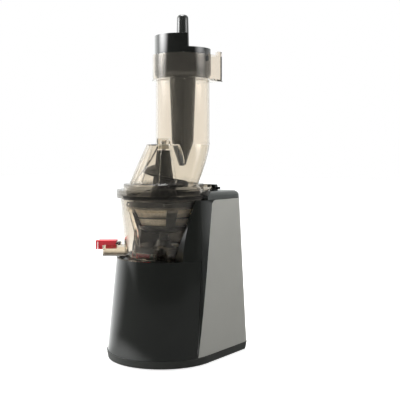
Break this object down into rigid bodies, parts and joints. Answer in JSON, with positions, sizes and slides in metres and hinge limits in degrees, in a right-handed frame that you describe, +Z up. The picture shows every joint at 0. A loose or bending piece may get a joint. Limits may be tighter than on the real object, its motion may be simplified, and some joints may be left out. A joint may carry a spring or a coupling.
{
  "type": "cold press juicer",
  "caption": "Upright slow juicer: D-shaped motor base with a rear tower, see-through bowl and lid, wide offset feed tube, hopper gate and pusher.",
  "frame": {"origin": "centre of the footprint, on the table", "axes": "+Z up; -Y is the rounded front with the bowl; +Y is the flat back of the tower; +X is the user's right when facing the front"},
  "size_m": [0.16, 0.1886, 0.49],
  "materials": {
    "rubber_black": "matt",
    "gloss_black": "polished moulded plastic",
    "satin_silver": "satin metallic paint on plastic",
    "cap_grey": "fine satin grey-green",
    "steel": "machined",
    "copper": "enamelled wire",
    "white_nylon": "moulded gear nylon",
    "board": "printed circuit board with parts",
    "clear_smoke": "clear smoke-tinted moulding",
    "red_silicone": "red silicone",
    "black_switch": "switch housing"
  },
  "bodies": {
    "base": {"base_tray": "black_switch", "front_shell": "gloss_black", "tower_housing": "gloss_black", "side_panel_left": "satin_silver", "side_panel_right": "satin_silver", "top_cap": "cap_grey", "bowl_dock": "black_switch", "shaft_seal": "rubber_black", "rubber_feet": "rubber_black", "tray_screws": "steel", "cable_gland": "rubber_black", "motor_mounts": "rubber_black", "motor_bracket": "steel", "stator_core": "steel", "stator_windings": "copper", "gear_case": "steel", "gear_case_cover": "steel", "counter_pin": "steel", "output_bearing": "steel", "control_board": "board", "selector_switch": "black_switch", "safety_switch": "black_switch"},
    "rotor": {"rotor_shaft": "steel", "rotor_core": "steel", "cooling_fan": "white_nylon", "motor_pinion": "steel"},
    "counter": {"counter_gear": "white_nylon"},
    "drive": {"output_gear": "white_nylon", "output_shaft": "steel"},
    "knob": {"control_knob": "gloss_black"},
    "plunger": {"safety_plunger": "red_silicone"},
    "bowl": {"juicing_bowl": "clear_smoke", "juice_spout": "clear_smoke", "pulp_spout": "clear_smoke", "hub_seal": "rubber_black", "pinion_stud": "steel", "bowl_floor_plug": "red_silicone", "strainer_frame": "black_switch", "strainer_mesh": "steel", "lever_pin": "steel"},
    "auger": {"auger": "gloss_black", "auger_insert": "steel", "auger_pin": "steel"},
    "pinion": {"wiper_pinion": "white_nylon"},
    "wiper": {"wiper_frame": "clear_smoke", "wiper_blades": "red_silicone"},
    "lever": {"cap_lever": "gloss_black", "juice_cap": "red_silicone"},
    "gasket": {"lid_gasket": "rubber_black"},
    "lid": {"lid": "clear_smoke", "lid_bush": "white_nylon"},
    "tube": {"feed_tube": "clear_smoke"},
    "gate": {"feed_gate": "gloss_black"},
    "pusher": {"pusher": "gloss_black"}
  },
  "joints": [
    {"name": "rotor_spin", "type": "hinge", "parent": "base", "child": "rotor", "pos_m": [0, -0.01425, 0.15], "axis": [0, 0, 1], "continuous": true},
    {"name": "counter_spin", "type": "hinge", "parent": "base", "child": "counter", "pos_m": [0, 0.01575, 0.15], "axis": [0, 0, 1], "continuous": true},
    {"name": "output_spin", "type": "hinge", "parent": "base", "child": "drive", "pos_m": [0, -0.01425, 0.15], "axis": [0, 0, 1], "continuous": true},
    {"name": "knob_turn", "type": "hinge", "parent": "base", "child": "knob", "pos_m": [0.03, 0.06375, 0.15], "axis": [0, 0, 1], "range_deg": [-45, 45]},
    {"name": "plunger_press", "type": "slide", "parent": "base", "child": "plunger", "axis": [0, 0, 1], "range_m": [-0.0015, 0], "stiffness_N_per_m": 600},
    {"name": "bowl_lift", "type": "slide", "parent": "base", "child": "bowl", "axis": [0, 0, 1], "range_m": [0, 0.06]},
    {"name": "auger_spin", "type": "hinge", "parent": "bowl", "child": "auger", "pos_m": [0, -0.01425, 0.15], "axis": [0, 0, 1], "continuous": true},
    {"name": "pinion_spin", "type": "hinge", "parent": "bowl", "child": "pinion", "pos_m": [-0.00413, 0.00919, 0.15], "axis": [0, 0, 1], "continuous": true},
    {"name": "wiper_spin", "type": "hinge", "parent": "bowl", "child": "wiper", "pos_m": [0, -0.01425, 0.15], "axis": [0, 0, 1], "continuous": true},
    {"name": "cap_lift", "type": "hinge", "parent": "bowl", "child": "lever", "pos_m": [-0.05081, -0.05116, 0.1596], "axis": [-0.5878, 0.809, 0], "range_deg": [0, 65]},
    {"name": "lid_turn", "type": "hinge", "parent": "bowl", "child": "gasket", "pos_m": [0, -0.01425, 0.15], "axis": [0, 0, 1], "range_deg": [0, 25]},
    {"name": "lid_lift", "type": "slide", "parent": "gasket", "child": "lid", "axis": [0, 0, 1], "range_m": [0, 0.06]},
    {"name": "tube_lift", "type": "slide", "parent": "lid", "child": "tube", "axis": [0, 0, 1], "range_m": [0, 0.04]},
    {"name": "gate_lift", "type": "slide", "parent": "tube", "child": "gate", "axis": [0, 0, 1], "range_m": [0, 0.06]},
    {"name": "pusher_slide", "type": "slide", "parent": "gate", "child": "pusher", "axis": [0, 0, 1], "range_m": [0, 0.2]}
  ],
  "couplings": [
    {"joint": "counter_spin", "follows": "rotor_spin", "ratio": -0.25},
    {"joint": "output_spin", "follows": "rotor_spin", "ratio": 0.083333},
    {"joint": "auger_spin", "follows": "rotor_spin", "ratio": 0.083333},
    {"joint": "pinion_spin", "follows": "rotor_spin", "ratio": -0.11905},
    {"joint": "wiper_spin", "follows": "rotor_spin", "ratio": -0.034722}
  ]
}
